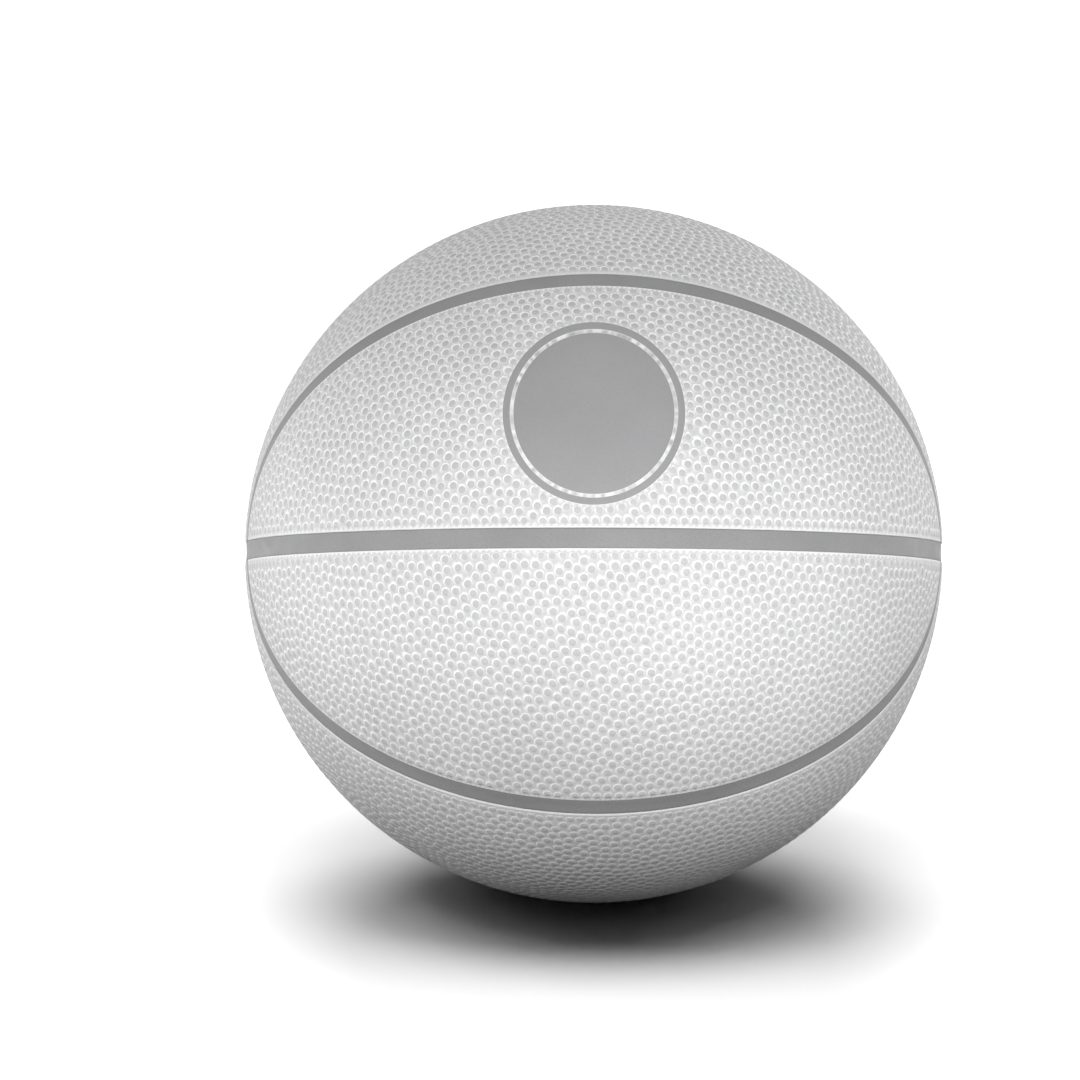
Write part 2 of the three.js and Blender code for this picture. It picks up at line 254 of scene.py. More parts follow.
def level_edge(longitude, distance):
    """Points beside the level great circle."""
    latitude = distance / RADIUS
    c = math.cos(latitude)
    flat = np.full_like(longitude, math.sin(latitude))
    return np.stack([np.sin(longitude) * c, -np.cos(longitude) * c, flat], -1)


def cross_edge(turn, distance):
    """Points beside the great circle square to the level one, through both ends and the top."""
    away = distance / RADIUS
    c = math.cos(away)
    flat = np.full_like(turn, -math.sin(away))
    return np.stack([np.cos(turn) * c, flat, np.sin(turn) * c], -1)


def solve(measure, low, high):
    """Where a measure crosses zero between low and high, by halving."""
    halvings = 60
    rising = measure(high) > measure(low)
    for _ in range(halvings):
        middle = (low + high) / 2
        if (measure(middle) > 0) == rising:
            high = middle
        else:
            low = middle
    return (low + high) / 2


def evenly(curve, start, end, steps):
    """Evenly spaced points from start up to but not including end."""
    samples = 1500
    t = np.linspace(start, end, samples)
    p = curve(t)
    far = np.concatenate([[0], np.cumsum(np.linalg.norm(np.diff(p, axis=0), axis=1))])
    return curve(np.interp(far[-1] * np.arange(steps) / steps, far, t))


def steps_for(length_mm):
    """An even count of border steps along a side."""
    return 2 * max(4, round(length_mm / BORDER_STEP / 2))


def longitude(point):
    """Angle round the upright axis, from the front to the right."""
    return math.atan2(point[0], -point[1])


def at(curve, t):
    """One point of a curve."""
    return curve(np.array([t]))[0]


def loop_panel_ring(inset):
    """Closed outline of the upper front panel inside the loop, counterclockwise from outside."""
    distance = SEAM / 2 + inset
    sine = math.sin(distance / RADIUS)
    edge = lambda t: loop_edge(t, -distance)
    start = solve(lambda t: at(edge, t)[2] - sine, 0.0, math.pi / 2)
    reach = longitude(at(edge, start))
    return np.vstack([
        evenly(lambda l: level_edge(l, distance), -reach, reach, steps_for(2 * LOOP_REACH * RADIUS)),
        evenly(edge, start, math.pi - start, steps_for(1.25 * math.pi * RADIUS))])


def band_panel_ring(inset):
    """Closed outline of the upper front band panel, between the loop and the cross seam."""
    distance = SEAM / 2 + inset
    sine = math.sin(distance / RADIUS)
    edge = lambda t: loop_edge(t, distance)
    cross = lambda a: cross_edge(a, distance)
    start = solve(lambda t: at(edge, t)[2] - sine, 0.0, math.pi / 2)
    end = solve(lambda a: at(cross, a)[2] - sine, 0.0, math.pi / 2)
    near, far = longitude(at(edge, start)), longitude(at(cross, end))
    side = steps_for(WAIST)
    level = lambda l: level_edge(l, distance)
    return np.vstack([
        evenly(edge, math.pi - start, start, steps_for(1.25 * math.pi * RADIUS)),
        evenly(level, near, far, side),
        evenly(cross, end, math.pi - end, steps_for(math.pi * RADIUS)),
        evenly(level, -far, -near, side)])


def around(direction, radius_mm, count, phase=0.0):
    """A circle on the unit sphere round a direction, counterclockwise from outside."""
    axis = unit(np.asarray(direction, float))
    first = unit(np.cross([1.0, 0.0, 0.0], axis))
    second = np.cross(axis, first)
    turn = phase + np.arange(count) * 2 * math.pi / count
    angle = radius_mm / RADIUS
    return (axis * math.cos(angle)
            + (first * np.cos(turn)[:, None] + second * np.sin(turn)[:, None]) * math.sin(angle))


def pressed(radius_mm, count):
    """A circle of the printing press, carried on to the ball along its lines of sight."""
    flat = math.cos(PRESS_DROP)
    facing = np.array([math.sin(PRESS_TURN) * flat, -math.cos(PRESS_TURN) * flat, math.sin(PRESS_DROP)])
    right = unit(np.cross([0.0, 0.0, 1.0], facing))
    up = np.cross(facing, right)
    turn = np.arange(count) * 2 * math.pi / count
    across, along = radius_mm * np.cos(turn), DISC_RISE + radius_mm * np.sin(turn)
    plate = right * across[:, None] + up * along[:, None]
    eye = facing * PRESS_FAR
    ray = plate - eye
    a, b = (ray * ray).sum(1), ray @ eye
    near = (-b - np.sqrt(b * b - a * (PRESS_FAR ** 2 - RADIUS ** 2))) / a
    return unit(eye + ray * near[:, None])


class Flat:
    """Stereographic map of the sphere round a panel's middle."""

    def __init__(self, ring):
        self.axis = unit(unit(ring).mean(0))
        self.first = unit(np.cross([0.0, 0.0, 1.0], self.axis))
        self.second = np.cross(self.axis, self.first)

    def __call__(self, p):
        depth = 1 + p @ self.axis
        return np.stack([p @ self.first / depth, p @ self.second / depth], -1)


def inside(points, outline):
    """Which flat points lie inside a closed flat outline."""
    a, b = outline, np.roll(outline, -1, 0)
    found = np.zeros(len(points), bool)
    batch = 2000
    for part in range(0, len(points), batch):
        x, y = points[part:part + batch, :1], points[part:part + batch, 1:]
        spans = (a[:, 1] > y) != (b[:, 1] > y)
        rise = np.where(b[:, 1] == a[:, 1], 1.0, b[:, 1] - a[:, 1])
        reach = a[:, 0] + (y - a[:, 1]) * (b[:, 0] - a[:, 0]) / rise
        found[part:part + batch] = (spans & (x < reach)).sum(1) % 2 == 1
    return found


def in_field(flat, p, outline, holes):
    """Which directions lie inside an outline and outside its holes."""
    keep = inside(flat(p), flat(outline))
    for hole in holes:
        keep &= ~inside(flat(p), flat(hole))
    return keep


def even_sphere(count, start):
    """Directions spread evenly over the whole sphere, along a spiral with golden-angle steps."""
    step = np.arange(count) + 0.5
    height = 1 - 2 * step / count
    turn = start + step * math.pi * (3 - math.sqrt(5))
    out = np.sqrt(1 - height ** 2)
    return np.stack([out * np.cos(turn), out * np.sin(turn), height], -1)


def scatter(flat, outline, holes, seed, area, rounds):
    """Directions spread loosely over a panel's field, as pebbles are, never too close together."""
    rng = np.random.default_rng(seed)
    apart = SPACING * math.sqrt(area * 2 / math.sqrt(3)) / RADIUS
    p = even_sphere(round(4 * math.pi * RADIUS ** 2 / area), rng.uniform(0, 2 * math.pi))
    p = unit(p + rng.normal(scale=FIRST_SHAKE * apart, size=p.shape))
    p = p[p @ flat.axis > FAR_SIDE]
    p = p[in_field(flat, p, outline, holes)]
    wall = np.vstack([outline] + holes)
    for step in range(rounds):
        everything = np.vstack([p, wall])
        if step % ROUNDS_PER_LIST == 0:
            mine, other = np.nonzero(p @ everything.T > math.cos(2 * apart))
            mine, other = mine[mine != other], other[mine != other]
            wide = step < rounds // 2
            loose = other < len(p)
            reach = np.where(loose, apart * (WIDE_REACH if wide else CLOSE_REACH), WALL_REACH * apart)
            share = np.where(loose, WIDE_PUSH if wide else CLOSE_PUSH, WALL_PUSH)
        side = p[mine] - everything[other]
        gap = np.maximum(np.linalg.norm(side, axis=1), 1e-9)
        push = side * (np.maximum(reach - gap, 0) / gap * share)[:, None]
        p = unit(p + np.stack([np.bincount(mine, push[:, k], len(p)) for k in range(3)], -1))
    p = p[in_field(flat, p, outline, holes)]
    gap = np.arccos(np.clip(p @ wall.T, -1, 1)).min(1) * RADIUS
    return p[gap > BORDER_CLEAR]


def triangles_between(flat, points, rings):
    """Triangles over points followed by closed rings, inside the first ring and outside the others."""
    count = len(points)
    everything = np.vstack([points] + rings)
    places = flat(everything)
    edges, first = [], count
    for ring in rings:
        index = np.arange(first, first + len(ring))
        edges += list(zip(index.tolist(), np.roll(index, -1).tolist()))
        first += len(ring)
    found = delaunay_2d_cdt([Vector(p) for p in places], edges, [], 0, 1e-9)
    tri = np.array([f for f in found[2] if len(f) == 3])
    origin = np.array([ids[0] if ids else -1 for ids in found[3]])
    tri = origin[tri]
    tri = tri[(tri >= 0).all(1)]
    middle = places[tri].mean(1)
    keep = inside(middle, places[count:count + len(rings[0])])
    first = count + len(rings[0])
    for ring in rings[1:]:
        keep &= ~((tri >= first) & (tri < first + len(ring))).all(1)
        first += len(ring)
    tri = tri[keep]
    a, b, c = places[tri[:, 0]], places[tri[:, 1]], places[tri[:, 2]]
    turned = np.cross(b - a, c - a) < 0
    tri[turned] = tri[turned][:, ::-1]
    return tri


def turned_over(mirror):
    """Whether a mirroring turns faces inside out."""
    return mirror[0] * mirror[1] * mirror[2] < 0


class Body:
    """Collects the points, faces, tones and map places of one mesh."""

    def __init__(self):
        self.points, self.tones, self.maps, self.count = [], [], [], 0
        self.faces, self.slots = [], []

    def add(self, directions, radius, tone, places):
        """Adds points along directions and returns their numbers."""
        radius = np.broadcast_to(np.asarray(radius, float), len(directions))
        self.points.append(directions * radius[:, None])
        self.tones.append(np.broadcast_to(np.asarray(tone, float), len(directions)))
        self.maps.append(places)
        start = self.count
        self.count += len(directions)
        return np.arange(start, self.count)

    def quads(self, a, b, c, d, slot=0):
        self.faces.append(np.stack([a, b, c, d], -1))
        self.slots.append(np.full(len(a), slot))

    def tris(self, a, b, c, slot=0):
        self.quads(a, b, c, np.full(len(a), -1), slot)

    def band(self, lower, upper, slot=0):
        """Closed band; lower runs counterclockwise and upper lies on its left."""
        self.quads(lower, np.roll(lower, -1), np.roll(upper, -1), upper, slot)

    def mesh(self, name, materials, mirror=(1, 1, 1), floor=False):
        points = np.vstack(self.points) * mirror
        tones, maps = np.concatenate(self.tones), np.vstack(self.maps)
        faces, slots = np.vstack(self.faces), np.concatenate(self.slots)
        if turned_over(mirror):
            faces = np.where(faces[:, 3:] < 0, faces[:, [0, 2, 1, 3]], faces[:, ::-1])
        used, faces_flat = np.unique(faces[faces >= 0], return_inverse=True)
        sizes = np.where(faces[:, 3] < 0, 3, 4)
        places = to_world(points[used])
        # Painted light and shade: tones stand out more towards the top of the ball
        rise = np.maximum(places[:, 2] / MM - CENTRE_HEIGHT, 0) / RADIUS
        tones = TONE_MIDDLE + (tones[used] - TONE_MIDDLE) * (1 + TONE_RISE * rise)
        if floor:
            places[:, 2] = np.maximum(places[:, 2], FLOOR_CLEAR)
        return make_mesh(name, places, faces_flat, sizes, slots, materials, tones / TONE_FULL, maps[used])


def make_mesh(name, places, corners, sizes, slots, materials, tones=None, maps=None):
    """A mesh object from points in metres and faces given as corners in a row and a size for each face."""
    mesh = bpy.data.meshes.new(name)
    mesh.vertices.add(len(places))
    mesh.vertices.foreach_set("co", np.ascontiguousarray(places, np.float32).ravel())
    mesh.loops.add(len(corners))
    mesh.loops.foreach_set("vertex_index", corners.astype(np.int32).ravel())
    mesh.polygons.add(len(sizes))
    mesh.polygons.foreach_set("loop_start", np.concatenate([[0], np.cumsum(sizes)[:-1]]).astype(np.int32))
    for material in materials:
        mesh.materials.append(material)
    mesh.polygons.foreach_set("material_index", slots.astype(np.int32))
    mesh.polygons.foreach_set("use_smooth", np.ones(len(sizes), bool))
    if tones is not None:
        mesh.attributes.new("tone", "FLOAT", "POINT").data.foreach_set("value", tones.astype(np.float32))
    if maps is not None:
        layer = mesh.uv_layers.new(name="OFBake")
        layer.data.foreach_set("uv", maps[corners].astype(np.float32).ravel())
    mesh.update(calc_edges=True)
    mesh.validate()
    piece = bpy.data.objects.new(name, mesh)
    bpy.context.scene.collection.objects.link(piece)
    return piece


def map_into(places, low, high, box):
    """Map places scaled from their own box into a box of the unit square."""
    share = (places - low) / (high - low)
    return np.array(box[:2]) + share * (np.array(box[2:]) - box[:2])


def pebble_field(body, flat, place, centres, rings, seed, painted_highlight_side, rim_tone):
    """Pebbles on a ground that fills the first ring and leaves the other rings open, with a painted highlight
    on their flanks.

    Every ring has an even count: its even points are corners of the net between the pebbles, and its
    odd points halve the net's border edges. Returns the vertex numbers of each ring."""
    rng = np.random.default_rng(seed + 1)
    count = len(centres)
    corner_rings = [r[0::2] for r in rings]
    half_rings = [r[1::2] for r in rings]
    tri = triangles_between(flat, centres, corner_rings)
    corners = np.vstack([centres] + corner_rings)
    pairs = np.sort(np.stack([tri, np.roll(tri, -1, 1)], -1).reshape(-1, 2), 1)
    edges, edge_of = np.unique(pairs, axis=0, return_inverse=True)
    edge_of = edge_of.reshape(-1, 3)
    halves = unit(corners[edges].mean(1))
    number = {(a, b): i for i, (a, b) in enumerate(edges.tolist())}
    first, border_edges = count, []
    for corner_ring, half_ring in zip(corner_rings, half_rings):
        index = np.arange(first, first + len(corner_ring))
        along = [number[tuple(sorted(e))] for e in zip(index.tolist(), np.roll(index, -1).tolist())]
        halves[along] = half_ring
        border_edges.append(np.array(along))
        first += len(corner_ring)
    middles = unit(corners[tri].mean(1))

    border = corners[count:]
    gap = np.arccos(np.clip(centres @ border.T, -1, 1)).min(1) * RADIUS
    grow = np.clip((gap - BORDER_CLEAR) / BORDER_GROWTH, 0, 1)
    height = PEBBLE_HEIGHT * (BORDER_HEIGHT + (1 - BORDER_HEIGHT) * grow) * rng.uniform(*HEIGHT_SPREAD, count)
    size = PEBBLE_RADIUS * (BORDER_RADIUS + (1 - BORDER_RADIUS) * grow) * rng.uniform(*RADIUS_SPREAD, count)
    top_tone = rng.uniform(*TONE_SPREAD, count) * (BORDER_TONE + (1 - BORDER_TONE) * grow)

    top = body.add(centres, GROUND + height, top_tone, place(centres))
    rim = body.add(border, GROUND, rim_tone, place(border))
    half = body.add(halves, GROUND, GROUND_TONE, place(halves))
    middle = body.add(middles, GROUND - GROUND_DIP, GROUND_TONE, place(middles))
    corner_ids = np.concatenate([top, rim])

    # Points of each ring: towards the halves of a pebble's edges and the middles of its triangles
    owner = tri.ravel()
    pebble = owner < count
    owner = owner[pebble]
    around_half = edge_of.ravel()[pebble]
    around_before = np.roll(edge_of, 1, 1).ravel()[pebble]
    around_middle = np.repeat(np.arange(len(tri)), 3)[pebble]
    spoke, spoke_of = np.unique(np.concatenate([owner, owner]) * len(edges)
                                + np.concatenate([around_half, around_before]), return_inverse=True)
    half_owner, half_edge = spoke // len(edges), spoke % len(edges)
    next_spoke, last_spoke = spoke_of[:len(owner)], spoke_of[len(owner):]

    def ring_points(who, towards, share, lift, highlight_side_tone, opposite):
        base = centres[who]
        side = towards - base * (towards * base).sum(1, keepdims=True)
        reach = np.linalg.norm(side, axis=1)
        # Painted highlight: flank rings are paler on the side that leans towards the pale side, and the top
        # ring sits further from it
        lean = side @ painted_highlight_side / reach
        share = share - TOP_SHIFT * lean * (share < 1)
        room = reach * (CROWD_BASE + CROWD_GAIN * np.minimum(share, CROWD_LIMIT))
        wanted = np.minimum(share * size[who] / RADIUS, room)
        p = unit(base + side * (wanted / reach)[:, None])
        own_tone = top_tone[who] if highlight_side_tone > TOP_FROM else 1.0
        shade = (highlight_side_tone + opposite + (highlight_side_tone - opposite) * lean) / 2 * own_tone
        return body.add(p, GROUND + height[who] * lift, shade, place(p))

    ring_half, ring_middle = [], []
    for row in PEBBLE_RINGS:
        ring_half.append(ring_points(half_owner, halves[half_edge], *row))
        ring_middle.append(ring_points(owner, middles[around_middle], *row))
    inner_h, inner_m = ring_half[0], ring_middle[0]
    body.tris(top[owner], inner_h[next_spoke], inner_m)
    body.tris(top[owner], inner_m, inner_h[last_spoke])
    levels = list(zip(ring_half, ring_middle))
    for (h0, m0), (h1, m1) in zip(levels, levels[1:]):
        body.quads(h0[next_spoke], h1[next_spoke], m1, m0)
        body.quads(m0, m1, h1[last_spoke], h0[last_spoke])
    h0, m0 = levels[-1]
    body.quads(h0[next_spoke], half[around_half], middle[around_middle], m0)
    body.quads(m0, middle[around_middle], half[around_before], h0[last_spoke])

    # Ground at the border: each border corner's share of its triangles
    who = tri.ravel()[~pebble]
    after = edge_of.ravel()[~pebble]
    before = np.roll(edge_of, 1, 1).ravel()[~pebble]
    between = np.repeat(np.arange(len(tri)), 3)[~pebble]
    body.quads(corner_ids[who], half[after], middle[between], half[before])

    found, first = [], 0
    for corner_ring, along in zip(corner_rings, border_edges):
        ring = np.empty(2 * len(corner_ring), int)
        ring[0::2] = rim[first:first + len(corner_ring)]
        ring[1::2] = half[along]
        found.append(ring)
        first += len(corner_ring)
    return found


def disc_relief(body, place, outer_ring, seed):
    """Smooth printed ring and disc inside the pebbles; the gap between them stays bare cover, mottled with
    painted shade and highlight in place of pebbles.
    """
    count = len(outer_ring)
    top = RADIUS + PRINT_PROUD
    edge = top - PRINT_DROP
    # The gap's mottled tones are painted shade and highlight standing in for pebbles there
    pebble_shade_mottle = np.random.default_rng(seed).uniform(*GAP_TONES, count)
    # Radius, height, tone and material slot, from outside in
    rows = [(RING_OUTER + PRINT_FOOT, GROUND + FOOT_RISE, EDGE_TONE, BARE),
            (RING_OUTER, edge, EDGE_TONE, BARE),
            (RING_OUTER - PRINT_ROUND, top, 1, PRINTED),
            (RING_INNER + PRINT_ROUND, top, 1, PRINTED),
            (RING_INNER, edge, EDGE_TONE, PRINTED),
            (RING_INNER - GAP_FOOT, GROUND + GAP_RISE, pebble_shade_mottle, BARE),
            (DISC_RADIUS + PRINT_FOOT, GROUND + GAP_RISE, pebble_shade_mottle, BARE),
            (DISC_RADIUS, edge, EDGE_TONE, BARE),
            (DISC_RADIUS - PRINT_ROUND, top, 1, PRINTED)]
    rows += [(radius, top, 1, PRINTED) for radius in DISC_NET]
    before = outer_ring
    for radius, height, tone, slot in rows:
        p = pressed(radius, count)
        ring = body.add(p, height, tone, place(p))
        body.band(before, ring, slot)
        before = ring
    p = pressed(0.0, 1)
    last = body.add(p, top, 1, place(p))
    body.tris(before, np.roll(before, -1), np.repeat(last, count), PRINTED)


def valve_relief(body, place, direction, outer_ring):
    """Smooth dished pad round the valve, and the wall of its hole."""
    count = len(outer_ring)
    before = outer_ring
    for radius, height in PAD_RINGS:
        p = around(direction, radius, count)
        ring = body.add(p, height, PAD_TONE, place(p))
        body.band(before, ring)
        before = ring
    p = around(direction, VALVE_HOLE, count)
    ring = body.add(p, PANEL_INNER, WALL_TONE, place(around(direction, VALVE_HOLE - WALL_MAP, count)))
    body.band(before, ring)


def cover_panel(name, ring_at, mirror, seed, materials, disc=False, valve=None, floor=False, lip_grey=0.0):
    """One cover panel: pebbled field, rolled lip, edge wall and smooth back."""
    field = ring_at(FIELD_INSET)
    flat = Flat(field)
    under = flat(ring_at(FOOT_INSET))
    low, high = under.min(0), under.max(0)
    place = lambda p: map_into(flat(p), low, high, OUTER_BOX)
    place_under = lambda p: map_into(flat(p), low, high, INNER_BOX)
    holes = []
    if disc:
        holes.append(pressed(RING_OUTER + PRINT_CLEAR, DISC_POINTS))
    if valve is not None:
        holes.append(around(valve, VALVE_PAD, VALVE_POINTS))
    body = Body()
    centres = scatter(flat, field, holes, seed, PEBBLE_AREA, PEBBLE_ROUNDS)
    rim_tone = RIM_TONE + lip_grey
    found = pebble_field(body, flat, place, centres, [field] + holes, seed, PAINTED_HIGHLIGHT_SIDE * mirror, rim_tone)
    if disc:
        disc_relief(body, place, found[1], seed + 3)
    if valve is not None:
        valve_relief(body, place, valve, found[-1])

    # The lip runs outwards from the field, so each new ring lies on the right of the last
    before = found[0]
    # The lip's pale tones are a painted highlight along the panel's edge
    for inset, height, tone in LIP:
        p = ring_at(inset)
        ring = body.add(p, height, tone + lip_grey, place(p))
        body.band(ring, before)
        before = ring
    edge = ring_at(0.0)
    foot = body.add(edge, PANEL_INNER, BACK_TONE, map_into(under, low, high, OUTER_BOX))
    body.band(foot, before)

    # Back of the panel, with a loose net of points so that it stays round
    back_flat = Flat(edge)
    back_holes = [around(valve, VALVE_HOLE, VALVE_POINTS)] if valve is not None else []
    grid = scatter(back_flat, edge, back_holes, seed + 7, BACK_AREA, BACK_ROUNDS)
    back_rings = [edge] + back_holes
    tri = triangles_between(back_flat, grid, back_rings)
    ids = [body.add(grid, PANEL_INNER, BACK_TONE, place_under(grid))]
    ids += [body.add(r, PANEL_INNER, BACK_TONE, place_under(r)) for r in back_rings]
    ids = np.concatenate(ids)
    body.tris(ids[tri[:, 0]], ids[tri[:, 2]], ids[tri[:, 1]])
    piece = body.mesh(name, materials, mirror, floor)
    weld(piece)
    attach(piece, "root")
    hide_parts(name.replace("cover_", "panel_"))
    return piece


def weld(piece):
    """Joins points that lie on each other, such as a back's border and the foot of its edge wall."""
    bpy.context.view_layer.objects.active = piece
    modifier = piece.modifiers.new("weld", "WELD")
    modifier.merge_threshold = WELD_REACH
    with bpy.context.temp_override(object=piece, active_object=piece):
        bpy.ops.object.modifier_apply(modifier=modifier.name)


# One half of a seam strip's dished cross-section, from its side to its middle: sideways place, height
STRIP_SIDE = ((STRIP_HALF, PANEL_INNER), (STRIP_HALF, STRIP_TOP - 0.14),
              (STRIP_HALF - 0.06, STRIP_TOP - 0.05), (STRIP_HALF - 0.22, STRIP_TOP),
              (2.2, STRIP_TOP - 0.05), (1.1, STRIP_TOP - 0.12))
STRIP_MIDDLE = (0.0, STRIP_TOP - 0.15)
STRIP_SECTION = [(-across, height) for across, height in STRIP_SIDE] + [STRIP_MIDDLE] + list(STRIP_SIDE[::-1])


def seam_strip(name, points, sides, closed, mirror, material, end_sine=None):
    """A strip along points with its sides square to them; its open ends are cut level at a height."""
    rings = []
    for offset, radius in STRIP_SECTION:
        p = slide(points, sides, offset)
        if end_sine is not None:
            for i in (0, -1):
                flat = math.hypot(p[i][0], p[i][1]) / math.sqrt(1 - end_sine ** 2)
                p[i] = (p[i][0] / flat, p[i][1] / flat, end_sine)
        rings.append(p * radius)
    grid = np.stack(rings, 1)
    stations, width = grid.shape[:2]
    index = np.arange(stations * width).reshape(stations, width)
    ahead = np.roll(index, -1, 0) if closed else index[1:]
    here = index if closed else index[:-1]
    corners = np.stack([here, np.roll(here, -1, 1), np.roll(ahead, -1, 1), ahead], -1).reshape(-1, 4)
    flat_corners, sizes = corners.ravel(), np.full(len(corners), 4)
    if not closed:
        flat_corners = np.concatenate([flat_corners, index[0][::-1], index[-1]])
        sizes = np.concatenate([sizes, [width, width]])
    places = to_world(grid.reshape(-1, 3) * mirror)
    piece = make_mesh(name, places, flat_corners, sizes, np.zeros(len(sizes)), [material])
    if not turned_over(mirror):
        piece.data.flip_normals()
    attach(piece, "root")
    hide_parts(name.replace("channel_", "seam_"))
    return piece


def revolve(name, profile, node, material, segments=72):
    """A valve piece: a profile of radius and height turned round the valve's axis."""
    axis = np.array([0.0, math.cos(VALVE_ANGLE), math.sin(VALVE_ANGLE)])
    first = np.array([1.0, 0.0, 0.0])
    second = np.cross(axis, first)
    turn = np.arange(segments) * 2 * math.pi / segments
    out = first * np.cos(turn)[:, None] + second * np.sin(turn)[:, None]
    places, rows = [], []
    for radius, height in profile:
        start = sum(len(p) for p in places)
        if radius == 0:
            places.append(axis[None] * height)
            rows.append(np.full(segments, start))
        else:
            places.append(axis * height + out * radius)
            rows.append(np.arange(start, start + segments))
    corners, sizes = [], []
    for low, high in zip(rows, rows[1:]):
        for i in range(segments):
            j = (i + 1) % segments
            face = list(dict.fromkeys([low[i], low[j], high[j], high[i]]))
            if len(face) > 2:
                corners += face
                sizes.append(len(face))
    places = to_world(np.vstack(places))
    piece = make_mesh(name, places, np.array(corners), np.array(sizes), np.zeros(len(sizes)), [material])
    weld(piece)
    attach(piece, "root")
    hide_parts(node)
    return piece


def shader(name, base, roughness, specular=0.5):
    """A material with its nodes, links and main shader."""
    material = bpy.data.materials.new(name)
    material.use_nodes = True
    nodes, links = material.node_tree.nodes, material.node_tree.links
    main = nodes["Principled BSDF"]
    main.inputs["Base Color"].default_value = (*base, 1)
    main.inputs["Roughness"].default_value = roughness
    main.inputs["Specular IOR Level"].default_value = specular
    return material, nodes, links, main


def noise(nodes, links, scale, detail=3.0, roughness=0.55):
    """Noise fixed to the object, about 0.3 to 0.7 for the most part."""
    place = nodes.new("ShaderNodeTexCoord")
    node = nodes.new("ShaderNodeTexNoise")
    node.inputs["Scale"].default_value = scale
    node.inputs["Detail"].default_value = detail
    node.inputs["Roughness"].default_value = roughness
    links.new(place.outputs["Object"], node.inputs["Vector"])
    return node.outputs["Fac"]


def span(nodes, links, value, low, high):
    """Noise stretched between a low and a high value."""
    node = nodes.new("ShaderNodeMapRange")
    node.inputs["From Min"].default_value = 0.3
    node.inputs["From Max"].default_value = 0.7
    node.inputs["To Min"].default_value = low
    node.inputs["To Max"].default_value = high
    links.new(value, node.inputs["Value"])
    return node.outputs["Result"]


def tinted(nodes, links, colour, factor):
    """Colour times a grey factor."""
    node = nodes.new("ShaderNodeMix")
    node.data_type = "RGBA"
    node.blend_type = "MULTIPLY"
    node.inputs["Factor"].default_value = 1.0
    links.new(colour, node.inputs["A"])
    links.new(factor, node.inputs["B"])
    return node.outputs["Result"]


def bump(nodes, links, height, strength, distance, main):
    """Fine grain on the main shader, from a height."""
    node = nodes.new("ShaderNodeBump")
    node.inputs["Strength"].default_value = strength
    node.inputs["Distance"].default_value = distance
    links.new(height, node.inputs["Height"])
    links.new(node.outputs["Normal"], main.inputs["Normal"])


def ramp(nodes, links, value, stops):
    """Colours at stops along a value."""
    node = nodes.new("ShaderNodeValToRGB")
    while len(node.color_ramp.elements) < len(stops):
        node.color_ramp.elements.new(0.5)
    for element, (position, colour) in zip(node.color_ramp.elements, stops):
        element.position = position
        element.color = (*colour, 1)
    links.new(value, node.inputs["Fac"])
    return node.outputs["Color"]


def cover_material():
    """White cover whose greys follow the mesh's tones, which carry painted highlights on the pebbles' flanks
    and the lips, painted shade in the print's gap, and painted light and shade growing towards the top.
    """
    material, nodes, links, main = shader("cover_rubber", (0.7, 0.7, 0.7), 0.6, 0.12)
    tone = nodes.new("ShaderNodeAttribute")
    tone.attribute_name = "tone"
    stops = ((0.0, (0.95, 0.95, 0.952)), (0.5, (0.75, 0.75, 0.752)), (0.85, (0.636, 0.636, 0.639)),
             (1.0, (0.582, 0.582, 0.585)), (TONE_FULL, (0.481, 0.481, 0.484)))
    stops = [(at_tone / TONE_FULL, grey) for at_tone, grey in stops]
    colour = ramp(nodes, links, tone.outputs["Fac"], stops)
    colour = tinted(nodes, links, colour, span(nodes, links, noise(nodes, links, 28), 0.965, 1.02))
    colour = tinted(nodes, links, colour, span(nodes, links, noise(nodes, links, 1100, 2), 0.955, 1.045))
    links.new(colour, main.inputs["Base Color"])
    links.new(span(nodes, links, noise(nodes, links, 240, 2), 0.58, 0.72), main.inputs["Roughness"])
    bump(nodes, links, noise(nodes, links, 2600, 2), 0.18, 0.0002, main)
    return material


def seam_material():
    """Grey rubber with a fine grain."""
    material, nodes, links, main = shader("seam_rubber", (0.32, 0.32, 0.32), 0.6, 0.15)
    grain = noise(nodes, links, 2200, 3, 0.7)
    colour = ramp(nodes, links, grain, ((0.25, (0.26, 0.26, 0.263)), (0.75, (0.337, 0.337, 0.34))))
    colour = tinted(nodes, links, colour, span(nodes, links, noise(nodes, links, 35), 0.94, 1.05))
    links.new(colour, main.inputs["Base Color"])
    links.new(span(nodes, links, noise(nodes, links, 300, 2), 0.52, 0.68), main.inputs["Roughness"])
    bump(nodes, links, grain, 0.25, 0.0002, main)
    return material


def print_material():
    """Smooth grey ink."""
    material, nodes, links, main = shader("print_grey", (0.37, 0.37, 0.38), 0.55, 0.35)
    grain = noise(nodes, links, 1500, 2)
    colour = ramp(nodes, links, grain, ((0.3, (0.306, 0.306, 0.311)), (0.7, (0.326, 0.326, 0.332))))
    colour = tinted(nodes, links, colour, span(nodes, links, noise(nodes, links, 40), 0.97, 1.03))
    links.new(colour, main.inputs["Base Color"])
    links.new(span(nodes, links, noise(nodes, links, 400, 2), 0.5, 0.62), main.inputs["Roughness"])
    bump(nodes, links, noise(nodes, links, 3000, 2), 0.12, 0.0001, main)
    return material


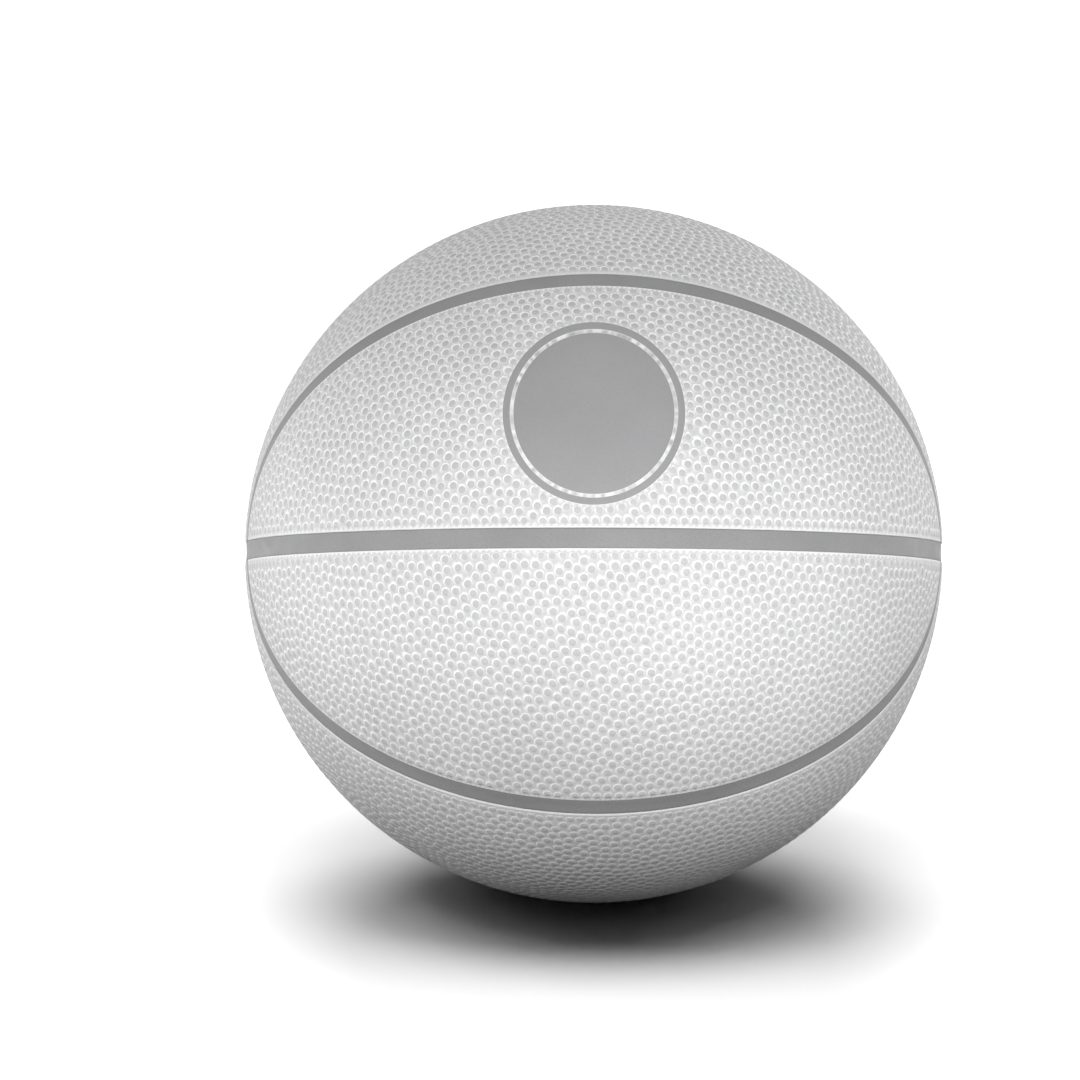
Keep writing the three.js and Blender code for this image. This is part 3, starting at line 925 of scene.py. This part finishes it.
def plain_rubber(name, low, high, rough, scale=600):
    """Rubber between two colours and two roughnesses."""
    material, nodes, links, main = shader(name, low, rough[0], 0.4)
    colour = ramp(nodes, links, noise(nodes, links, scale), ((0.3, low), (0.7, high)))
    links.new(colour, main.inputs["Base Color"])
    links.new(span(nodes, links, noise(nodes, links, scale / 3, 2), *rough), main.inputs["Roughness"])
    bump(nodes, links, noise(nodes, links, scale * 3, 2), 0.2, 0.0002, main)
    return material


def winding_material():
    """Turns of thread crossing in two directions."""
    material, nodes, links, main = shader("winding_thread", (0.7, 0.66, 0.55), 0.8, 0.2)
    thread_scale, thread_waver = 260, 1.5
    place = nodes.new("ShaderNodeTexCoord")
    heights = []
    for angle in (0.5, -0.7):
        turn = nodes.new("ShaderNodeMapping")
        turn.inputs["Rotation"].default_value = (angle, 0.4 * angle, 1.3 * angle)
        links.new(place.outputs["Object"], turn.inputs["Vector"])
        wave = nodes.new("ShaderNodeTexWave")
        wave.inputs["Scale"].default_value = thread_scale
        wave.inputs["Distortion"].default_value = thread_waver
        links.new(turn.outputs["Vector"], wave.inputs["Vector"])
        heights.append(wave.outputs["Fac"])
    both = nodes.new("ShaderNodeMath")
    both.operation = "MAXIMUM"
    links.new(heights[0], both.inputs[0])
    links.new(heights[1], both.inputs[1])
    colour = ramp(nodes, links, both.outputs[0], ((0.2, (0.42, 0.39, 0.31)), (0.9, (0.74, 0.70, 0.58))))
    links.new(colour, main.inputs["Base Color"])
    bump(nodes, links, both.outputs[0], 0.5, 0.0003, main)
    return material


COVER_LOOK = cover_material()
SEAM_LOOK = seam_material()
PRINT_LOOK = print_material()

# Cover panels: the two outlines, mirrored below and turned to the back, each with a seed of its own
VALVE_MIDDLE = np.array([0.0, -math.cos(VALVE_ANGLE), math.sin(VALVE_ANGLE)])
cover_panel("cover_front_upper", loop_panel_ring, (1, 1, 1), 11, [COVER_LOOK, PRINT_LOOK], disc=True)
cover_panel("cover_front_lower", loop_panel_ring, (1, 1, -1), 23, [COVER_LOOK])
cover_panel("cover_back_upper", loop_panel_ring, (-1, -1, 1), 37, [COVER_LOOK], valve=VALVE_MIDDLE)
cover_panel("cover_back_lower", loop_panel_ring, (-1, -1, -1), 41, [COVER_LOOK])
cover_panel("cover_top_front", band_panel_ring, (1, 1, 1), 53, [COVER_LOOK], lip_grey=BAND_LIP_GREY)
cover_panel("cover_top_back", band_panel_ring, (-1, -1, 1), 67, [COVER_LOOK], lip_grey=BAND_LIP_GREY)
cover_panel("cover_bottom_front", band_panel_ring, (1, 1, -1), 71, [COVER_LOOK], lip_grey=BAND_LIP_GREY)
cover_panel("cover_bottom_back", band_panel_ring, (-1, -1, -1), 83, [COVER_LOOK], floor=True,
            lip_grey=BAND_LIP_GREY)

# Seam strips: a ring on the level circle, and strips that end beside it
LEVEL_STATIONS = 420
CROSS_STATIONS = 220
LOOP_STATIONS = 280
LOOP_SAMPLES = 3000
END_CLEAR = 0.03
level_turns = np.arange(LEVEL_STATIONS) * 2 * math.pi / LEVEL_STATIONS
level_sides = np.tile([0.0, 0.0, 1.0], (LEVEL_STATIONS, 1))
seam_strip("channel_level", level_edge(level_turns, 0.0), level_sides, True, (1, 1, 1), SEAM_LOOK)
end_angle = (STRIP_HALF + END_CLEAR) / RADIUS
end_sine = math.sin(end_angle)
cross_turns = np.linspace(end_angle, math.pi - end_angle, CROSS_STATIONS)
cross_sides = np.tile([0.0, -1.0, 0.0], (CROSS_STATIONS, 1))
for name, mirror in (("channel_cross_upper", (1, 1, 1)), ("channel_cross_lower", (1, 1, -1))):
    seam_strip(name, cross_edge(cross_turns, 0.0), cross_sides, False, mirror, SEAM_LOOK, end_sine)
loop_start = solve(lambda t: at(loop_point, t)[2] - end_sine, 0.0, math.pi / 2)
samples = np.linspace(loop_start, math.pi - loop_start, LOOP_SAMPLES)
lengths = np.linalg.norm(np.diff(loop_point(samples), axis=0), axis=1)
so_far = np.concatenate([[0], np.cumsum(lengths)])
loop_turns = np.interp(np.linspace(0, so_far[-1], LOOP_STATIONS), so_far, samples)
for name, mirror in (("channel_loop_front_upper", (1, 1, 1)), ("channel_loop_front_lower", (1, 1, -1)),
                     ("channel_loop_back_upper", (-1, -1, 1)), ("channel_loop_back_lower", (-1, -1, -1))):
    seam_strip(name, loop_point(loop_turns), loop_side(loop_turns), False, mirror, SEAM_LOOK, end_sine)

# Valve pieces: radius and height of each point of their profiles
BOOT_LOOK = plain_rubber("valve_boot_rubber", (0.22, 0.22, 0.224), (0.29, 0.29, 0.294), (0.55, 0.7), 900)
CORE_LOOK = plain_rubber("valve_core_rubber", (0.085, 0.085, 0.088), (0.13, 0.13, 0.133), (0.5, 0.65), 900)
BOOT_TOP = RADIUS - 0.5
BOOT_PROFILE = ((2.6, 102.9), (4.7, 102.9), (5.2, 103.4), (5.2, 113.2), (11.9, 112.7), (12.5, 113.3),
                (12.5, 113.7), (8.5, 114.15), (4.5, 114.4), (4.5, BOOT_TOP - 0.55), (4.38, BOOT_TOP - 0.22),
                (4.1, BOOT_TOP - 0.05), (3.8, BOOT_TOP), (3.0, BOOT_TOP), (2.72, BOOT_TOP - 0.08),
                (2.6, BOOT_TOP - 0.3), (2.6, 102.9))
CORE_PROFILE = ((0, 99.4), (2.3, 99.4), (3.5, 100.3), (3.6, 101.6), (3.3, 102.5), (2.3, 102.6),
                (2.3, BOOT_TOP - 0.7), (2.22, BOOT_TOP - 0.5), (2.0, BOOT_TOP - 0.42), (1.6, BOOT_TOP - 0.45),
                (1.2, BOOT_TOP - 0.7), (0.9, BOOT_TOP - 1.1), (0.9, BOOT_TOP - 13.4), (0, BOOT_TOP - 14.3))
revolve("valve_seat", BOOT_PROFILE, "valve_boot", BOOT_LOOK)
revolve("valve_plug", CORE_PROFILE, "valve_core", CORE_LOOK)

# Inner layers keep their CAD solids
inner_looks = {
    "carcass": plain_rubber("carcass_rubber", (0.02, 0.02, 0.021), (0.04, 0.04, 0.041), (0.7, 0.85)),
    "bladder": plain_rubber("bladder_butyl", (0.012, 0.012, 0.013), (0.022, 0.022, 0.023), (0.45, 0.65)),
    "thread_winding": winding_material(),
}
for node, look in inner_looks.items():
    for material_slot in frame["nodes"][node].material_slots:
        material_slot.material = look


def seen_directly(nodes, links):
    """One for a camera, glossy or transmission ray, and zero for the rays that light the ball."""
    path = nodes.new("ShaderNodeLightPath")
    total = path.outputs["Is Camera Ray"]
    for name in ("Is Glossy Ray", "Is Transmission Ray"):
        both = nodes.new("ShaderNodeMath")
        both.operation = "MAXIMUM"
        links.new(total, both.inputs[0])
        links.new(path.outputs[name], both.inputs[1])
        total = both.outputs[0]
    return total


# Floor: pale, white to the camera, and it keeps the ball's shadow
FLOOR_HALF = 14.0
FLOOR_LIGHTING = (0.14, 0.14, 0.14, 1)
FLOOR_SEEN = (2.4, 2.4, 2.4, 1)
floor_corners = [(x * FLOOR_HALF, y * FLOOR_HALF, 0) for x, y in ((-1, -1), (1, -1), (1, 1), (-1, 1))]
floor_mesh = bpy.data.meshes.new("floor")
floor_mesh.from_pydata(floor_corners, [], [(0, 1, 2, 3)])
floor = bpy.data.objects.new("floor", floor_mesh)
bpy.context.scene.collection.objects.link(floor)
floor_look, nodes, links, main = shader("floor_white", FLOOR_LIGHTING[:3], 1.0, 0.0)
mix = nodes.new("ShaderNodeMix")
mix.data_type = "RGBA"
mix.inputs["A"].default_value = FLOOR_LIGHTING
mix.inputs["B"].default_value = FLOOR_SEEN
links.new(seen_directly(nodes, links), mix.inputs["Factor"])
links.new(mix.outputs["Result"], main.inputs["Base Color"])
floor_mesh.materials.append(floor_look)

# World: white to the camera and in reflections; the lamps do the lighting
world = bpy.data.worlds.new("studio")
bpy.context.scene.world = world
world.use_nodes = True
nodes, links = world.node_tree.nodes, world.node_tree.links
background = nodes["Background"]
background.inputs["Color"].default_value = (1, 1, 1, 1)
links.new(seen_directly(nodes, links), background.inputs["Strength"])

# Lamps on stands light the ball alone: neither they nor the ball's bounce of them reach the floor's shadow
BALL_ONLY = bpy.data.collections.new("ball_only")
for piece in bpy.context.scene.objects:
    if piece.type == "MESH" and piece is not floor:
        BALL_ONLY.objects.link(piece)

BALL_MIDDLE = Vector((0, 0, CENTRE_HEIGHT * MM))


def outwards(azimuth, elevation):
    """Direction away from the ball, with azimuth counted from the front to the right, in degrees."""
    a, e = math.radians(azimuth), math.radians(elevation)
    return Vector((math.sin(a) * math.cos(e), -math.cos(a) * math.cos(e), math.sin(e)))


def facing_ball(lamp, azimuth, elevation, distance):
    """Places a lamp that looks at the ball."""
    out = outwards(azimuth, elevation)
    bpy.context.scene.collection.objects.link(lamp)
    lamp.location = BALL_MIDDLE + out * distance
    lamp.rotation_euler = (-out).to_track_quat("-Z", "Y").to_euler()


# Lamps on stands: azimuth, elevation, metres from the middle of the ball, watts
STAND_LAMP_SIZE = 0.16
STAND_LAMPS = ((5, 20, 0.45, 0.625), (80, 20, 0.45, 0.29), (110, 2, 0.45, 0.58), (-50, 2, 0.45, 0.415),
               (-115, 2, 0.45, 0.51), (180, 4, 0.45, 0.57), (25, -6, 0.3, 0.243), (-50, -6, 0.3, 0.16))
for azimuth, elevation, distance, watts in STAND_LAMPS:
    data = bpy.data.lights.new("stand_lamp", "AREA")
    data.shape = "DISK"
    data.size = STAND_LAMP_SIZE
    data.energy = watts
    data.cycles.max_bounces = 0
    lamp = bpy.data.objects.new("stand_lamp", data)
    lamp.visible_camera = False
    lamp.light_linking.receiver_collection = BALL_ONLY
    facing_ball(lamp, azimuth, elevation, distance)

# Soft overhead lamps, which light the floor too and cast the shadow: azimuth, elevation, strength
OVERHEAD_WIDTH = math.radians(35)
OVERHEAD_FAR = 2.0
OVERHEAD_LAMPS = ((180, 45, 0.875), (0, 80, 0.405), (-60, 65, 0.405), (45, 70, 0.405), (-90, 45, 0.105),
                  (90, 45, 0.06))
for azimuth, elevation, strength in OVERHEAD_LAMPS:
    data = bpy.data.lights.new("overhead_lamp", "SUN")
    data.angle = OVERHEAD_WIDTH
    data.energy = strength
    facing_ball(bpy.data.objects.new("overhead_lamp", data), azimuth, elevation, OVERHEAD_FAR)

# Camera: the photograph's angle and framing, in a picture 1080 by 1080, some ball radii away
PICTURE = 1080
BALL_PIXELS = 349.4
BALL_AT = (593.76, 553.65)
CAMERA_FAR = 12.0
CAMERA_AZIMUTH = -0.5
CAMERA_ELEVATION = 13.0
CAMERA_ROLL = math.radians(0.25)
SENSOR = 36.0
camera_data = bpy.data.cameras.new("camera")
camera = bpy.data.objects.new("camera", camera_data)
bpy.context.scene.collection.objects.link(camera)
bpy.context.scene.camera = camera
towards = outwards(CAMERA_AZIMUTH, CAMERA_ELEVATION)
camera.location = BALL_MIDDLE + towards * CAMERA_FAR * RADIUS * MM
facing = (-towards).to_track_quat("-Z", "Y").to_matrix()
camera.rotation_euler = (facing @ Matrix.Rotation(CAMERA_ROLL, 3, "Z")).to_euler()
camera_data.sensor_width = SENSOR
camera_data.lens = SENSOR * BALL_PIXELS * math.sqrt(CAMERA_FAR ** 2 - 1) / PICTURE
camera_data.shift_x = (PICTURE / 2 - BALL_AT[0]) / PICTURE
camera_data.shift_y = (BALL_AT[1] - PICTURE / 2) / PICTURE
camera_data.clip_start = 0.05
camera_data.clip_end = 60.0

bpy.context.scene.view_settings.view_transform = "Standard"
